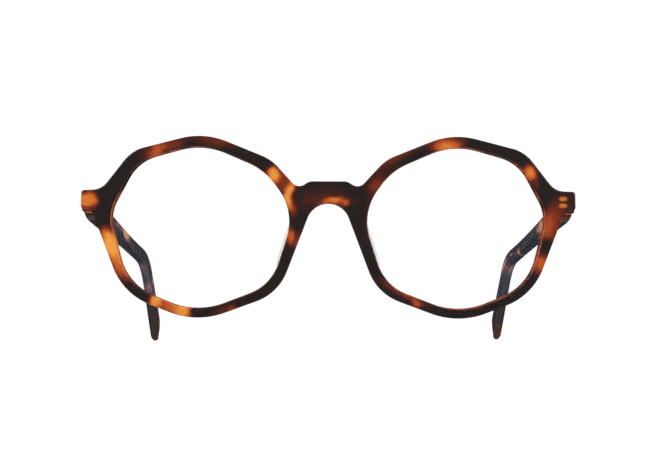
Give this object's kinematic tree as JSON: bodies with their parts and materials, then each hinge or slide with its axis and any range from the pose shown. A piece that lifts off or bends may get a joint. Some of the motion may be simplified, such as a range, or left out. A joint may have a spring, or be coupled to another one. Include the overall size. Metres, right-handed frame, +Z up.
{
  "type": "eyeglasses frame",
  "caption": "Full-rim acetate eyeglasses frame with rounded eight-sided rims, flat keyhole bridge, clear plano lenses, clear nose pads and folding temples on barrel hinges.",
  "frame": {"origin": "centre of the footprint of the frame as it stands open on a table, on the table's plane", "axes": "+X to the wearer's left, +Y back along the open temples, +Z up; the front faces -Y and leans top forward by 8 degrees"},
  "size_m": [0.1386, 0.1546, 0.0503],
  "materials": {
    "acetate": "polished tortoise acetate, near black with red-brown and amber patches",
    "lens": "clear plano lens, faint blue reflection",
    "clear_pad": "clear polished acetate",
    "hinge_metal": "satin nickel silver",
    "core_metal": "rolled nickel silver wire"
  },
  "bodies": {
    "front": {"front_frame": "acetate", "lens_left": "lens", "lens_right": "lens", "nose_pad_left": "clear_pad", "nose_pad_right": "clear_pad", "front_hinge_leaf_left": "hinge_metal", "front_hinge_leaf_right": "hinge_metal", "hinge_screw_left": "hinge_metal", "hinge_screw_right": "hinge_metal"},
    "temple_left_arm": {"temple_left": "acetate", "core_wire_left": "core_metal", "temple_hinge_leaf_left": "hinge_metal"},
    "temple_right_arm": {"temple_right": "acetate", "core_wire_right": "core_metal", "temple_hinge_leaf_right": "hinge_metal"}
  },
  "joints": [
    {"name": "temple_left_fold", "type": "hinge", "parent": "front", "child": "temple_left_arm", "pos_m": [0.0639, -0.06284, 0.03209], "axis": [-0.0113, 0, 0.9999], "range_deg": [0, 90.7]},
    {"name": "temple_right_fold", "type": "hinge", "parent": "front", "child": "temple_right_arm", "pos_m": [-0.0639, -0.06284, 0.03209], "axis": [0.0314, 0, -0.9995], "range_deg": [0, 84.5]}
  ]
}
